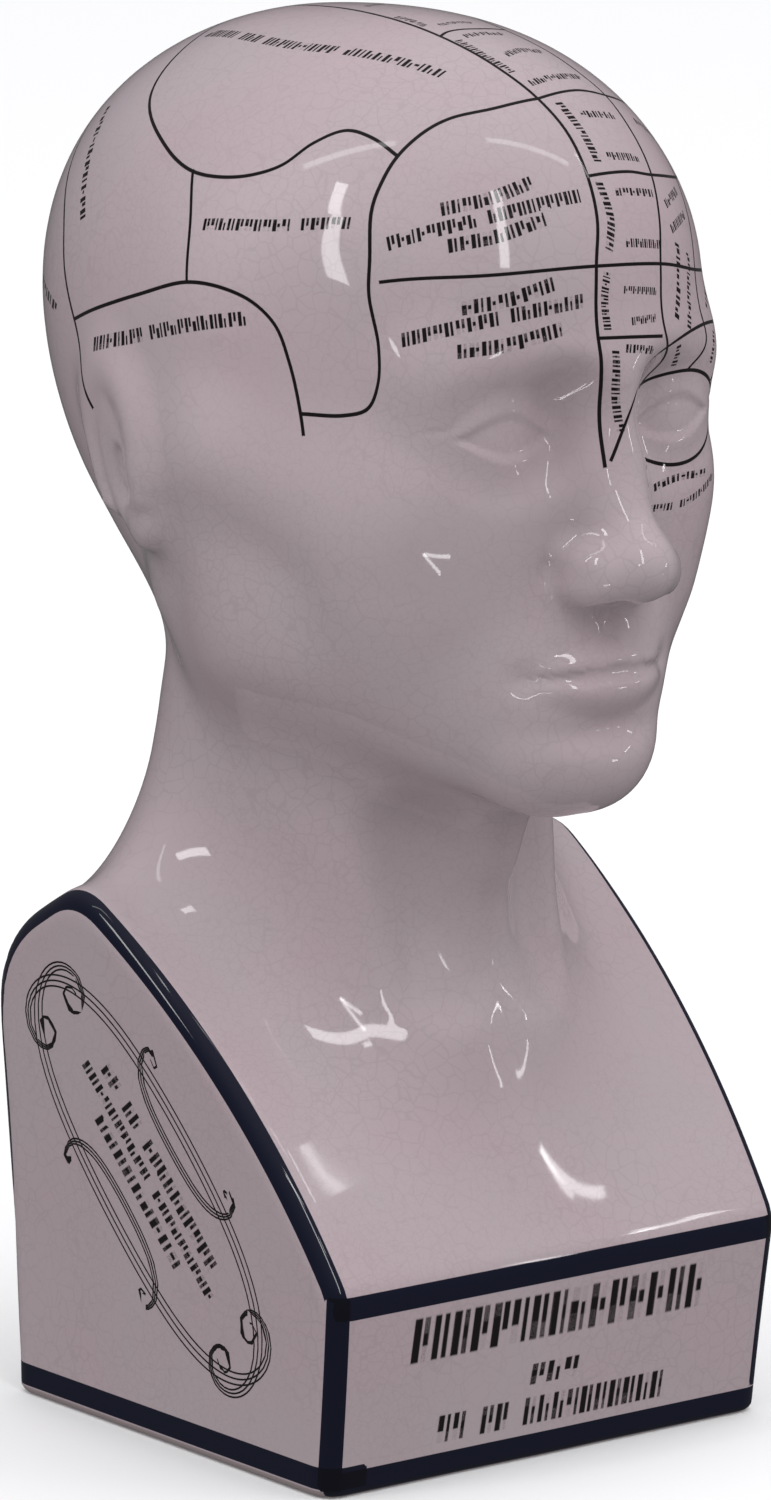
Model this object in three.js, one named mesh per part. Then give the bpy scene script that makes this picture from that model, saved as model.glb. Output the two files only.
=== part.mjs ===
// A phrenology head: a bald head and neck on a wedge-shaped bust block, cast in one piece.
// Millimetres, +Z up, the face looks towards -Y. The origin is the middle of the block's underside.
import * as THREE from 'three';
import { mergeVertices } from 'three/addons/utils/BufferGeometryUtils.js';

// Bust block
const blockWidth = 113;
const blockDepth = 100.8;
const plaqueHeight = 41.4;
const shoulderHeight = 106.5;
const shoulderSetback = 19;
const shoulderFallDegrees = 30.9;
const chestFootDegrees = 56.3;
const chestRadius = 207;
const chestCrown = 3.5;
const cornerRound = 5.3;
const footRound = 2;

// How far the block's walls lean out with height: front and back in millimetres for each
// millimetre up, the sides along a curve that reaches sideSpread at the shoulders
const frontLean = 0.092;
const backLean = 0.0415;
const sideSpread = 6.6;

// Neck and head
const neckWidth = 73.6;
const chinHeight = 132;
const headHeight = 150.8;

// Number of columns across the front, along each side and across the back, and number of rows
// over the crown, the face, under the chin, down the neck, over the chest and shoulders and
// down the walls
const frontColumns = 40;
const sideColumns = 18;
const backColumns = 10;
const crownRows = 10;
const faceRows = 25;
const chinRows = 4;
const neckRows = 4;
const chestRows = 7;
const wallRows = 5;
const evenings = 8;

// The head, its features and the neck are drawn for a head of this height, with the chin at
// level nought, and take their size from headHeight
const drawnHeight = 150.8;
const unit = headHeight / drawnHeight;
const browLevel = 86.7;
const eyeLevel = 76;
const noseLevel = 43.2;
const mouthLevel = 29;
const mouthHalfWidth = 16.5;
const eyeSide = 21;
const eyeDepth = -46.6;
const eyeballRadius = 10.6;
const earPlace = [49, 23.5, 64];
const earSize = 0.8;
const skullCentre = [0, 4, 82];
const fanReach = 100;

const radians = THREE.MathUtils.degToRad;
const clamp = THREE.MathUtils.clamp;
const ease = (low, high, value) => THREE.MathUtils.smoothstep(value, low, high);
const bell = (distance, width) => Math.exp(-((distance / width) ** 2));

// Every form below is a depth in millimetres: less than nought inside, more than nought outside

function lump(p, centre, radii, turnDegrees = 0) {
  const turn = radians(turnDegrees);
  const dx = p[0] - centre[0];
  const dy = p[1] - centre[1];
  const x = (Math.cos(turn) * dx + Math.sin(turn) * dy) / radii[0];
  const y = (Math.cos(turn) * dy - Math.sin(turn) * dx) / radii[1];
  const z = (p[2] - centre[2]) / radii[2];
  const near = Math.hypot(x, y, z);
  const steep = Math.hypot(x / radii[0], y / radii[1], z / radii[2]) + 1e-9;
  return near * (near - 1) / steep;
}

function limb(p, start, end, startRadius, endRadius) {
  const along = end.map((value, k) => value - start[k]);
  const reach = along.reduce((sum, value) => sum + value * value, 0);
  const passed = along.reduce((sum, value, k) => sum + value * (p[k] - start[k]), 0);
  const t = clamp(passed / reach, 0, 1);
  const away = along.map((value, k) => p[k] - start[k] - t * value);
  return Math.hypot(...away) - (startRadius + (endRadius - startRadius) * t);
}

function join(a, b, soft) {
  const overlap = Math.max(soft - Math.abs(a - b), 0);
  return Math.min(a, b) - overlap * overlap / (4 * soft);
}

const trim = (a, b, soft) => -join(-a, -b, soft);

// Both sides drawn as one, with the middle line kept smooth
const mirrored = (p) => [Math.hypot(p[0], 1.5), p[1], p[2]];

// Eyeball with both lids as one swelling, thicker outside the opening between the lids
function eye(m) {
  const x = m[0] - eyeSide;
  const y = m[1] - eyeDepth;
  const z = m[2] - eyeLevel;
  const up = Math.atan2(z - 0.05 * x, Math.max(-y, 0.5)) * eyeballRadius;
  const span = 1 - Math.min(Math.abs(x - 0.2) / 10.4, 1.2) ** 2;
  const lids = trim(up - 4.2 * span, -up - 3.3 * span, 1.4);
  const fold = 0.5 * bell(lids - 4.6, 1.5) * ease(-1, 2, up);
  return Math.hypot(x, y, z) - eyeballRadius - 1.15 * ease(-1.3, 1.3, lids) + fold;
}

// How far the lips stand proud: two soft rolls with a seam between them
function lips([px, y, z]) {
  const x = Math.hypot(px, 1);
  const along = Math.min(x / mouthHalfWidth, 1.2);
  const seam = mouthLevel + 0.4 - 0.9 * along ** 2;
  const up = (z - seam) / (5.2 - 3.0 * along ** 2);
  const down = (seam - z) / (6.2 - 3.4 * along ** 2);
  const upper = 1.7 * ease(-0.25, 0.4, up) * (1 - ease(0.55, 1.5, up));
  const lower = 2.2 * ease(-0.25, 0.4, down) * (1 - ease(0.5, 1.6, down));
  const groove = 0.7 * bell(z - seam, 1.3) * (1 - ease(0.8, 1.2, along));
  return (upper + lower) * (1 - ease(0.3, 1.1, along)) - groove;
}

// Furrow under the nose, hollow under the lip, corners of the mouth and wings of the nose
function hollows([px, y, z]) {
  const x = Math.abs(px);
  const above = ease(mouthLevel + 4, mouthLevel + 8, z);
  const furrow = 0.7 * bell(x, 2.4) * above * (1 - ease(noseLevel - 4, noseLevel, z));
  const underLip = 1.7 * bell(z - mouthLevel + 11.5, 3.6) * bell(x, 13);
  const corner = 0.8 * bell(Math.hypot(x - mouthHalfWidth - 0.9, z - mouthLevel), 3.2);
  const wing = 0.8 * bell(Math.hypot(x - 12.6, (z - noseLevel - 6.5) * 0.7), 2.2);
  return furrow + underLip + corner + wing;
}

function head(p) {
  const m = mirrored(p);
  // Skull: vault, forehead and back
  let f = lump(p, [0, 15.9, 96.6], [53.4, 72.4, 53.3]);
  f = join(f, lump(p, [0, -17.1, 96.5], [41, 43, 44]), 26);
  f = join(f, lump(p, [0, 33.1, 68], [41.6, 37.4, 44.7]), 26);
  // Face, cheeks, jaw and temples
  f = join(f, lump(p, [0, -18, 57], [41, 42, 54]), 18);
  f = join(f, lump(m, [22, -31, 50], [20, 22, 28]), 16);
  f = join(f, limb(m, [32.5, -2, 31], [7, -49, 13.5], 10, 12.5), 18);
  f = join(f, limb(m, [39, 6, 63], [32.5, -2, 31], 11, 10), 20);
  f = join(f, limb(m, [27, -39.5, 64], [41, -6, 69], 7.5, 6), 18);
  f = trim(f, -lump(m, [64, -38, 87], [16, 24, 24]), 20);
  // Muzzle, chin and brow
  f = join(f, lump(p, [0, -45.5, mouthLevel + 1], [20.5, 19, 18]), 12);
  f = join(f, lump(p, [0, -52.5, 11], [13, 12.5, 10.5]), 10);
  f = join(f, limb(m, [3, -56.5, browLevel - 1], [28, -47, browLevel + 0.5], 7, 6), 13);
  // Eye sockets and eyes
  f = trim(f, -lump(m, [eyeSide, -69.5, eyeLevel + 1], [15.5, 14, 10], -16), 10);
  f = trim(f, -lump(m, [12.5, -67, eyeLevel + 3], [5.5, 9, 8]), 9);
  f = join(f, eye(m), 5.5);
  // Nose
  f = join(f, limb(p, [0, -56, eyeLevel + 4], [0, -69, noseLevel + 10], 6, 6.8), 10);
  f = join(f, lump(p, [0, -71.6, noseLevel + 7.5], [7, 7.4, 6.2]), 6);
  f = join(f, lump(m, [7.5, -65.8, noseLevel + 5.8], [4.6, 7.6, 5.2]), 6);
  return f + (hollows(p) - lips(p)) * ease(38, 48, -p[1]);
}

// Ear: a thin plate with a rolled edge, an inner ridge, a lobe and a bowl in front
function ear(p) {
  const m = mirrored(p).map((value, k) => (value - earPlace[k]) / earSize);
  const lean = radians(-14);
  const flare = radians(12);
  const back = m[1] * Math.cos(lean) + m[2] * Math.sin(lean);
  const z = m[2] * Math.cos(lean) - m[1] * Math.sin(lean);
  const x = m[0] * Math.cos(flare) + back * Math.sin(flare);
  const y = back * Math.cos(flare) - m[0] * Math.sin(flare);
  const q = [x, y, z];
  const wide = 11 + 1.5 * clamp(z / 20, -1, 1);
  const outerRing = (Math.hypot(y / wide, z / 20) - 1) * wide;
  const innerRing = (Math.hypot((y + 1) / 6, (z + 1) / 12.5) - 1) * 6;
  const roll = trim(Math.hypot(outerRing, x - 3.6) - 2.3, -(z + 14), 4);
  const ridge = trim(Math.hypot(innerRing, x - 3.4) - 1.5, -y, 3);
  let f = join(lump(q, [0, 0, 0], [4.6, 11.5, 20.5]), roll, 2);
  f = join(f, lump(q, [1.5, -3.5, -17], [3.4, 5.5, 6]), 3);
  f = join(f, ridge, 1.5);
  f = trim(f, -lump(q, [5.2, -2.5, -3.5], [4.2, 4.8, 8]), 2.5);
  f = join(f, lump(q, [2.4, -9, -4], [2.6, 2.6, 4]), 3);
  return f * earSize;
}

function neck(p) {
  const m = mirrored(p);
  const t = clamp((p[2] + 57) / 100, 0, 1);
  const wide = neckWidth / 2 / unit - 0.5 * t;
  const deep = neckWidth / 2 / unit + 1 + t;
  let f = (Math.hypot(m[0] / wide, (p[1] - 4.3 - 12 * t) / deep) - 1) * wide;
  f = trim(f, p[2] - 68, 20);
  f = join(f, limb(m, [33, 20, 36], [7, -27.5, -49], 8, 4.5), 10);
  return join(f, lump(p, [0, -26, -8], [8, 9, 12]), 10);
}

// Block: plaque, chest, rounded shoulders and back seen from the side, then its two side walls

function sideAt(z) {
  const up = z / shoulderHeight;
  return blockWidth / 2 + sideSpread * up * (0.24 + 0.76 * up);
}

const plaqueTopY = -blockDepth / 2 - frontLean * plaqueHeight;

function blockProfile(y, z, crown) {
  const foot = radians(chestFootDegrees);
  const fall = radians(shoulderFallDegrees);
  const level = z - crown;
  const arcY = plaqueTopY + chestRadius * Math.sin(foot);
  const arcZ = plaqueHeight - chestRadius * Math.cos(foot);
  const shoulderY = blockDepth / 2 - shoulderSetback;
  const front = -(y + blockDepth / 2 + frontLean * z);
  const back = y - blockDepth / 2 - backLean * z;
  const chest = Math.hypot(y - arcY, level - arcZ) - chestRadius;
  const top = (level - shoulderHeight) * Math.cos(fall) + (y - shoulderY) * Math.sin(fall);
  return trim(trim(trim(chest, top, 6.7), back, 15.2), front, 2);
}

function bust([x, y, z], neckDepth) {
  const across = (1 - clamp(2 * x / blockWidth, -1, 1) ** 2) ** 2;
  const crown = chestCrown * across * ease(plaqueHeight, 0.8 * shoulderHeight, z);
  const m = mirrored([x, y, z]);
  let f = join(blockProfile(y, z, crown), neckDepth, 20);
  const collar = [10, 29.3, shoulderHeight + 24.5];
  const shoulder = [0.335 * blockWidth, blockDepth / 2 - 24.2, shoulderHeight - 25.2];
  f = join(f, limb(m, collar, shoulder, 16.1, 18), 20);
  f = trim(f, m[0] - sideAt(z), cornerRound);
  return trim(f, -z, footRound);
}

function casting(p) {
  const q = [p[0] / unit, p[1] / unit, (p[2] - chinHeight) / unit];
  const upper = join(head(q), ear(q), 4) * unit;
  return join(upper, bust(p, neck(q) * unit), 14);
}

// The surface is a lattice. Its columns run from the crown to the foot, with one down each
// corner of the block, and each point is where a line from outside first meets the casting.

function outline() {
  const columns = [];
  const corner = 50;
  const backCorner = 132;
  const add = (turn, x, y) => columns.push({ turn: radians(turn), x, y });
  for (let k = 0; k < frontColumns; k += 1) {
    const s = 2 * k / frontColumns - 1;
    add(corner * (0.55 * s + 0.45 * s ** 3), s, 0);
  }
  for (let k = 0; k < sideColumns; k += 1) {
    const t = k / sideColumns;
    add(corner + (backCorner - corner) * t, 1, t);
  }
  for (let k = 0; k < backColumns; k += 1) {
    const t = k / backColumns;
    add(backCorner + (360 - 2 * backCorner) * t, 1 - 2 * t, 1);
  }
  for (let k = 0; k < sideColumns; k += 1) {
    const t = k / sideColumns;
    add(-backCorner + (backCorner - corner) * t, -1, 1 - t);
  }
  return columns;
}

function rimAbove({ x, y }) {
  const place = plaqueTopY + (0.485 * blockDepth - plaqueTopY) * y;
  let low = 0.9 * plaqueHeight;
  let high = 1.15 * shoulderHeight;
  for (let k = 0; k < 30; k += 1) {
    const middle = (low + high) / 2;
    if (blockProfile(place, middle, 0) < 0) low = middle;
    else high = middle;
  }
  return [x * sideAt(low), place, low];
}

const mix = (a, b, t) => a.map((value, k) => value + (b[k] - value) * t);

// Lines of one column, from the crown down: each has a point inside and a point outside
function aims(column) {
  const { turn, x, y } = column;
  const level = [Math.sin(turn), -Math.cos(turn)];
  const centre = [0, skullCentre[1] * unit, chinHeight + skullCentre[2] * unit];
  const lines = [];
  const fan = (highest, lowest, rows) => {
    for (let k = 1; k <= rows; k += 1) {
      const lift = radians(highest + (lowest - highest) * k / rows);
      const flat = fanReach * unit * Math.cos(lift);
      const high = fanReach * unit * Math.sin(lift);
      lines.push([centre, [level[0] * flat, centre[1] + level[1] * flat, centre[2] + high]]);
    }
  };
  fan(90, 25, crownRows);
  fan(25, -45, faceRows);
  fan(-45, -57, chinRows);
  const reach = neckWidth / 2 + 20 - 9 * Math.cos(turn);
  const throat = [0, 6 * unit, (chinHeight + shoulderHeight) / 2 - 1];
  const around = [reach * level[0], throat[1] + reach * level[1], throat[2]];
  const edge = rimAbove(column);
  const core = [edge[0] / 4, edge[1] / 4, edge[2] - 0.38 * shoulderHeight];
  const foot = [x * blockWidth / 2, (y - 0.5) * blockDepth, 0.6 * footRound];
  const deep = [foot[0] / 4, foot[1] / 4, foot[2]];
  const sweep = (from, to, rows, beyond, crowding) => {
    for (let k = 1; k <= rows; k += 1) {
      const share = 1 - (1 - k / rows) ** crowding;
      const inner = mix(from[0], to[0], share);
      const outer = mix(from[1], to[1], share);
      lines.push([inner, mix(outer, inner, -beyond)]);
    }
  };
  sweep(lines.at(-1), [throat, around], neckRows, 0, 1);
  sweep([throat, around], [core, edge], chestRows, 0.35, 1.5);
  sweep([core, edge], [deep, foot], wallRows, 0.2, 1);
  return lines;
}

function strike([inner, outer]) {
  const span = Math.hypot(...inner.map((value, k) => value - outer[k]));
  const depthAt = (gone) => casting(mix(outer, inner, gone / span));
  let near = 0;
  let far = 0;
  for (let depth = depthAt(far); depth > 0 && far < span; depth = depthAt(far)) {
    near = far;
    far += Math.max(0.8 * depth, 0.25);
  }
  for (let k = 0; k < 14; k += 1) {
    const middle = (near + far) / 2;
    if (depthAt(middle) < 0) far = middle;
    else near = middle;
  }
  return mix(outer, inner, far / span);
}

// Moves a point along the slope of the depth onto the surface
function settle(p) {
  const step = 0.05;
  const depth = casting(p);
  const slope = p.map((value, k) => {
    const ahead = p.with(k, value + step);
    const behind = p.with(k, value - step);
    return (casting(ahead) - casting(behind)) / (2 * step);
  });
  const steep = Math.max(slope.reduce((sum, value) => sum + value * value, 0), 0.05);
  const move = slope.map((value) => value * depth / steep);
  const short = Math.min(1, 2 / Math.max(Math.hypot(...move), 1e-9));
  return p.map((value, k) => value - move[k] * short);
}

// Evens out the spacing over the head and neck, where the lines fan out unevenly
function evenOut(columns) {
  const last = crownRows + faceRows + chinRows + neckRows - 1;
  for (let round = 0; round < evenings; round += 1) {
    const before = columns.map((column) => column.slice());
    before.forEach((column, c) => {
      const left = before.at(c - 1);
      const right = before[(c + 1) % before.length];
      for (let r = 1; r < last; r += 1) {
        const beside = mix(left[r], right[r], 0.5);
        const along = mix(column[r - 1], column[r + 1], 0.5);
        columns[c][r] = settle(mix(mix(beside, along, 0.5), column[r], 0.5));
      }
    });
  }
}

function phrenologyHead() {
  const columns = outline().map((column) => aims(column).map(strike));
  evenOut(columns);
  const crown = strike([
    [0, skullCentre[1] * unit, chinHeight + skullCentre[2] * unit],
    [0, skullCentre[1] * unit, chinHeight + (skullCentre[2] + fanReach) * unit],
  ]);
  // The flat underside starts inside the rounded foot
  const footShare = 1 - 2 * footRound / blockWidth;
  columns.forEach((column) => {
    const [x, y] = column.at(-1);
    column.push([x * footShare, y * footShare, 0]);
  });
  const rows = columns[0].length + 1;
  const geometry = new THREE.SphereGeometry(1, columns.length, rows);
  const place = geometry.getAttribute('position');
  for (let row = 0; row <= rows; row += 1) {
    for (let c = 0; c <= columns.length; c += 1) {
      const column = columns[c % columns.length];
      const point = row === 0 ? crown : column[row - 1] ?? [0, 0, 0];
      place.setXYZ(row * (columns.length + 1) + c, ...point);
    }
  }
  geometry.deleteAttribute('normal');
  geometry.deleteAttribute('uv');
  const skin = mergeVertices(geometry);
  skin.computeVertexNormals();
  return skin;
}

const glaze = new THREE.MeshStandardMaterial({ color: 0xaca2a6, roughness: 0.12, metalness: 0 });

const body = new THREE.Mesh(phrenologyHead(), glaze);
body.name = 'phrenology_head';

const part = new THREE.Group();
part.add(body);
export default part;
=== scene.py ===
import math

import bmesh
import bpy
import numpy as np
from mathutils import Matrix, Vector
from mathutils.kdtree import KDTree


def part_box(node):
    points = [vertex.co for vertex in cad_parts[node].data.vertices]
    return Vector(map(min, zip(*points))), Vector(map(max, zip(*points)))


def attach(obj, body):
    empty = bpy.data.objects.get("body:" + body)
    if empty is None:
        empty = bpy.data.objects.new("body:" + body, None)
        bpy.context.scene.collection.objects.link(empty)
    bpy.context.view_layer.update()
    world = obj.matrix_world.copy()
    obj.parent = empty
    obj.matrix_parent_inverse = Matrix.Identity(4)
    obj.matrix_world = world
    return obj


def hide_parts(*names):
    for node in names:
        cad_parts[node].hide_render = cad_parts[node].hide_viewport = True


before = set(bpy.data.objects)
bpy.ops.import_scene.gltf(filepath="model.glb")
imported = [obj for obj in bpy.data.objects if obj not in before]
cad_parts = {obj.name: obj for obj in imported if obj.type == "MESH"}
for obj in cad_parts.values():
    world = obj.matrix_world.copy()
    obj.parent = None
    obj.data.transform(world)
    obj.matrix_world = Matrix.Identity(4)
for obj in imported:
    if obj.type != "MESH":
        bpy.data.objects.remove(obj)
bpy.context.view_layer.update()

bl_info = {
    "name": "Phrenology Head",
    "version": (1, 0, 0),
    "blender": (4, 5, 0),
    "location": "3D View > Sidebar > Phrenology Head",
    "description": "Glazed ceramic head on a bust block, with a printed chart of the skull",
    "category": "Object",
}

PIECE = "glazed_head"
CAD_NODE = "phrenology_head"
MM = 0.001
# Farthest that the skin's box may lie off the solid's, in millimetres
MISFIT = 2.0


def setting(name, description, default, **kind):
    return bpy.props.FloatProperty(name=name, description=description, default=default, **kind)


def length(name, description, default):
    return setting(name, description, default, unit="LENGTH", precision=4)


def angle(name, description, degrees):
    return setting(name, description, math.radians(degrees), subtype="ANGLE")


def share(name, description, default):
    return setting(name, description, default, min=0.0, subtype="FACTOR")


def colour(name, description, default):
    return bpy.props.FloatVectorProperty(name=name, description=description, default=default, size=3,
                                         min=0.0, max=1.0, subtype="COLOR")


class CastingSizes(bpy.types.PropertyGroup):
    """Driving sizes of the casting"""
    block_width: length("Block width", "Width of the block's foot", 0.113)
    block_depth: length("Block depth", "Depth of the block's foot", 0.1008)
    plaque_height: length("Plaque height", "Height of the flat front under the chest", 0.0414)
    shoulder_height: length("Shoulder height", "Height where the chest meets the shoulders", 0.1065)
    shoulder_setback: length("Shoulder setback", "How far the shoulder line lies in front of the back", 0.019)
    shoulder_fall: angle("Shoulder fall", "Slope of the shoulders towards the back", 30.9)
    chest_foot: angle("Chest slope", "Slope of the chest where it leaves the plaque", 56.3)
    chest_radius: length("Chest radius", "Radius of the chest's curve, seen from the side", 0.207)
    chest_crown: length("Chest crown", "How far the middle of the chest stands proud of its sides", 0.0035)
    corner_round: length("Corner rounding", "Rounding of the block's rims and corners", 0.0053)
    foot_round: length("Foot rounding", "Rounding of the foot's edge", 0.002)
    side_spread: length("Side spread", "How far each side wall leans out at the shoulders", 0.0066)
    front_lean: share("Front lean", "Lean of the plaque for each unit of height", 0.092)
    back_lean: share("Back lean", "Lean of the back for each unit of height", 0.0415)
    neck_width: length("Neck width", "Width of the neck", 0.0736)
    chin_height: length("Chin height", "Height of the chin above the foot", 0.132)
    head_height: length("Head height", "Height of the head from chin to crown", 0.1508)


class PrintSizes(bpy.types.PropertyGroup):
    """Sizes of what is printed and painted under the glaze"""
    line_width: length("Region line", "Width of the lines between regions", 0.00078)
    fine_width: length("Organ line", "Width of the lines of the small fields", 0.00070)
    scroll_width: length("Scroll line", "Width of the flourish's lines", 0.00040)
    rim_band: length("Rim band", "Width of the blue band along each rim", 0.0062)
    plaque_band: length("Plaque band", "Height of the blue band along the top of the plaque", 0.0047)
    corner_band: length("Corner band", "Width of the blue band round each upright corner", 0.0066)
    foot_band: length("Foot band", "Height of the blue band above the foot", 0.0046)
    bare_strip: length("Bare strip", "Height of the bare strip under the foot band", 0.0016)


class FinishSettings(bpy.types.PropertyGroup):
    """Colours of the finish"""
    glaze: colour("Glaze", "Colour of the glazed body", (0.44, 0.373, 0.392))
    blush: colour("Blush", "Second colour that clouds the glaze", (0.45, 0.362, 0.385))
    ink: colour("Ink", "Colour of the printed lines", (0.003, 0.002, 0.0025))
    blue: colour("Blue", "Colour of the painted bands", (0.002, 0.004, 0.015))
    bare: colour("Bare foot", "Colour of the thin glaze at the foot", (0.27, 0.22, 0.22))
    double_blue: colour("Double blue", "Colour where one band lies over another", (0.003, 0.003, 0.004))
    cracks: colour("Cracks", "Colour of the crackle", (0.09, 0.07, 0.07))
    crackle_cell: length("Crackle cell", "Usual width of one cell of the crackle", 0.0036)
    crackle_depth: share("Crackle strength", "How much the crackle darkens the glaze", 0.10)


class StageSettings(bpy.types.PropertyGroup):
    """Camera and light"""
    azimuth: angle("Azimuth", "Direction of the camera round the head", -39.585)
    elevation: angle("Elevation", "Height of the camera above the horizon", 12.055)
    roll: angle("Roll", "Turn of the camera about its own axis", 1.003)
    distance: length("Distance", "Distance of the camera", 2.0)
    aim_depth: length("Aim depth", "How far behind the middle of the foot the camera aims", 0.0037)
    aim_height: length("Aim height", "Height that the camera aims at", 0.1337)
    lens: setting("Lens", "Focal length in millimetres", 240.25, unit="CAMERA")
    room_low: share("Room below", "Brightness of the room below and at eye level", 0.48)
    room_rise: share("Room above", "How much brighter the room is straight above than at eye level", 1.27)
    room_gloss: share("Room in gloss", "Share of the room's brightness that the glaze mirrors", 0.18)


# The form. Lengths below are millimetres, and each form is a depth: less than nought inside.

TINY = 1e-9
# Half the width over which the two mirrored sides run into each other
MIDDLE_SOFT = 1.5


def measure(rows):
    """How long each row is."""
    return np.sqrt((rows ** 2).sum(-1))


def direct(rows):
    """Each row made one long."""
    return rows / measure(rows)[..., None]


def turned(a, b, degrees):
    """Two distances across each other, after a turn of their axes."""
    c, s = math.cos(math.radians(degrees)), math.sin(math.radians(degrees))
    return c * a + s * b, c * b - s * a


def facing(turns, lifts):
    """Directions given as longitude and latitude in degrees."""
    turn, lift = np.radians(turns), np.radians(lifts)
    return np.stack([np.sin(turn) * np.cos(lift), -np.cos(turn) * np.cos(lift), np.sin(lift)], -1)


def lump(p, centre, radii, turn=0.0):
    """Ellipsoid; turn is in degrees about the upright axis."""
    q = p - np.array(centre)
    if turn:
        q = np.stack([*turned(q[:, 0], q[:, 1], turn), q[:, 2]], 1)
    q = q / np.array(radii)
    near = measure(q)
    return near * (near - 1) / (measure(q / np.array(radii)) + TINY)


def limb(p, start, end, start_radius, end_radius):
    """Round bar that tapers from one radius to the other."""
    a, b = np.array(start, float), np.array(end, float)
    along = b - a
    t = np.clip((p - a) @ along / (along @ along), 0, 1)
    return measure(p - a - t[:, None] * along) - (start_radius + (end_radius - start_radius) * t)


def join(a, b, soft):
    overlap = np.maximum(soft - np.abs(a - b), 0.0)
    return np.minimum(a, b) - overlap * overlap / (4 * soft)


def trim(a, b, soft):
    return -join(-a, -b, soft)


def ease(low, high, x):
    t = np.clip((x - low) / (high - low), 0, 1)
    return t * t * (3 - 2 * t)


def bell(x, width):
    return np.exp(-(x / width) ** 2)


def mirrored(p):
    """Both sides drawn as one, with the middle line kept smooth."""
    return np.stack([np.hypot(p[:, 0], MIDDLE_SOFT), p[:, 1], p[:, 2]], 1)


class Casting:
    """The head, neck and block as one form."""

    # The head and neck are drawn with the chin at level nought, for a head of this height
    drawn_height = 150.8
    brow_level, eye_level, nose_level, mouth_level = 86.7, 76.0, 43.2, 29.0
    mouth_half_width = 16.5
    eye_side, eye_depth, eyeball_radius = 21.0, -46.6, 10.6
    ear_place, ear_size = (49.0, 23.5, 64.0), 0.8
    ear_lean, ear_flare = -14.0, 12.0
    skull_centre, reach = (0.0, 4.0, 82.0), 100.0
    # How lines from outside look for the surface: share of the depth that they dare to go at once,
    # shortest step, and how often the last step is halved
    caution, least_step, halvings = 0.8, 0.25, 14
    # Step over which the slope is taken; least squared slope and longest move when points settle
    slope_step, least_slope, longest_move = 0.05, 0.05, 2.0

    def __init__(self, sizes):
        for name in CastingSizes.__annotations__:
            is_length = sizes.bl_rna.properties[name].unit == "LENGTH"
            setattr(self, name, getattr(sizes, name) / (MM if is_length else 1))
        self.unit = self.head_height / self.drawn_height
        self.plaque_top_y = -self.block_depth / 2 - self.front_lean * self.plaque_height
        x, y, z = self.skull_centre
        self.centre = np.array([x, y * self.unit, self.chin_height + z * self.unit])

    def eye(self, m):
        """Eyeball with both lids as one swelling, thicker outside the opening between the lids."""
        q = m - np.array([self.eye_side, self.eye_depth, self.eye_level])
        x = q[:, 0]
        up = np.arctan2(q[:, 2] - 0.05 * x, np.maximum(-q[:, 1], 0.5)) * self.eyeball_radius
        span = 1 - np.minimum(np.abs(x - 0.2) / 10.4, 1.2) ** 2
        lids = trim(up - 4.2 * span, -up - 3.3 * span, 1.4)
        fold = 0.5 * bell(lids - 4.6, 1.5) * ease(-1, 2, up)
        return measure(q) - self.eyeball_radius - 1.15 * ease(-1.1, 1.1, lids) + fold

    def lips(self, p):
        """How far the lips stand proud: two soft rolls with a seam between them."""
        x, z = np.hypot(p[:, 0], 1), p[:, 2]
        along = np.minimum(x / self.mouth_half_width, 1.2)
        seam = self.mouth_level + 0.4 - 0.9 * along ** 2
        up = (z - seam) / (5.2 - 3.0 * along ** 2)
        down = (seam - z) / (6.2 - 3.4 * along ** 2)
        upper = 1.7 * ease(-0.25, 0.4, up) * (1 - ease(0.55, 1.5, up))
        lower = 2.2 * ease(-0.25, 0.4, down) * (1 - ease(0.5, 1.6, down))
        groove = 0.7 * bell(z - seam, 1.3) * (1 - ease(0.8, 1.2, along))
        return (upper + lower) * (1 - ease(0.3, 1.1, along)) - groove

    def hollows(self, p):
        """Furrow under the nose, hollow under the lip, corners of the mouth and wings of the nose."""
        x, z = np.abs(p[:, 0]), p[:, 2]
        above = ease(self.mouth_level + 4, self.mouth_level + 8, z)
        furrow = 0.7 * bell(x, 2.4) * above * (1 - ease(self.nose_level - 4, self.nose_level, z))
        under_lip = 1.7 * bell(z - self.mouth_level + 11.5, 3.6) * bell(x, 13)
        corner = 0.8 * bell(np.hypot(x - self.mouth_half_width - 0.9, z - self.mouth_level), 3.2)
        wing = 0.8 * bell(np.hypot(x - 12.6, (z - self.nose_level - 6.5) * 0.7), 2.2)
        return furrow + under_lip + corner + wing

    def head(self, p):
        m = mirrored(p)
        # Skull: vault, forehead and back
        f = lump(p, (0, 15.9, 96.6), (53.4, 72.4, 53.3))
        f = join(f, lump(p, (0, -17.1, 96.5), (41, 43, 44)), 26)
        f = join(f, lump(p, (0, 33.1, 68), (41.6, 37.4, 44.7)), 26)
        # Face, cheeks, jaw and temples
        f = join(f, lump(p, (0, -18, 57), (41, 42, 54)), 18)
        f = join(f, lump(m, (22, -31, 50), (20, 22, 28)), 16)
        f = join(f, limb(m, (32.5, -2, 31), (7, -49, 13.5), 10, 12.5), 18)
        f = join(f, limb(m, (39, 6, 63), (32.5, -2, 31), 11, 10), 20)
        f = join(f, limb(m, (27, -39.5, 64), (41, -6, 69), 7.5, 6), 18)
        f = trim(f, -lump(m, (64, -38, 87), (16, 24, 24)), 20)
        # Muzzle, chin and brow
        f = join(f, lump(p, (0, -45.5, self.mouth_level + 1), (20.5, 19, 18)), 12)
        f = join(f, lump(p, (0, -52.5, 11), (13, 12.5, 10.5)), 10)
        f = join(f, limb(m, (3, -56.5, self.brow_level - 1), (28, -47, self.brow_level + 0.5), 7, 6), 13)
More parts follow.
